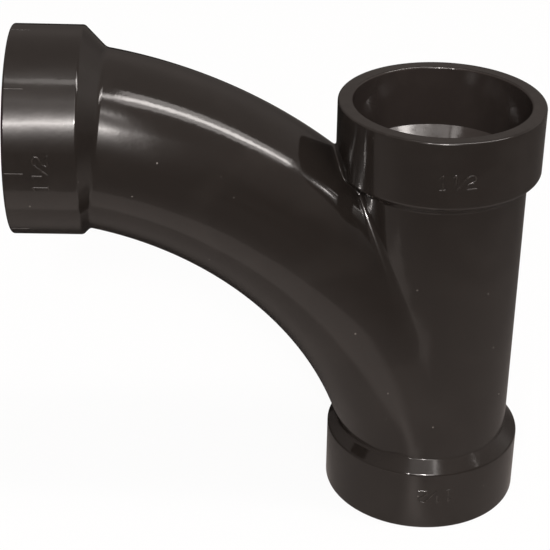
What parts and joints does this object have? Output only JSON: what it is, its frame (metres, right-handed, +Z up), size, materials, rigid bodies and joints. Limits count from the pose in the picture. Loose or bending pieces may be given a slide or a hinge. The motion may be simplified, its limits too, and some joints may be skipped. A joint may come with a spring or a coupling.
{
  "type": "long-turn tee wye drain fitting",
  "caption": "Black plastic long-turn tee-wye drain fitting: a straight run joined by a long sweeping side branch, with a solvent-weld pipe socket at each mouth.",
  "frame": {"origin": "centre of the outlet's mouth, on the run's axis", "axes": "+Z up along the run from the outlet to the inlet, -X towards the branch, Y across the plane of symmetry"},
  "size_m": [0.1457, 0.0576, 0.1444],
  "materials": {
    "abs_black": "glossy moulded"
  },
  "bodies": {
    "root": {"inlet_hub": "abs_black", "inlet_shoulder": "abs_black", "run_barrel": "abs_black", "outlet_shoulder": "abs_black", "outlet_hub": "abs_black", "branch_hub": "abs_black", "branch_shoulder": "abs_black", "sweep_front_half": "abs_black", "sweep_back_half": "abs_black", "branch_alignment_ticks": "abs_black"}
  },
  "joints": []
}
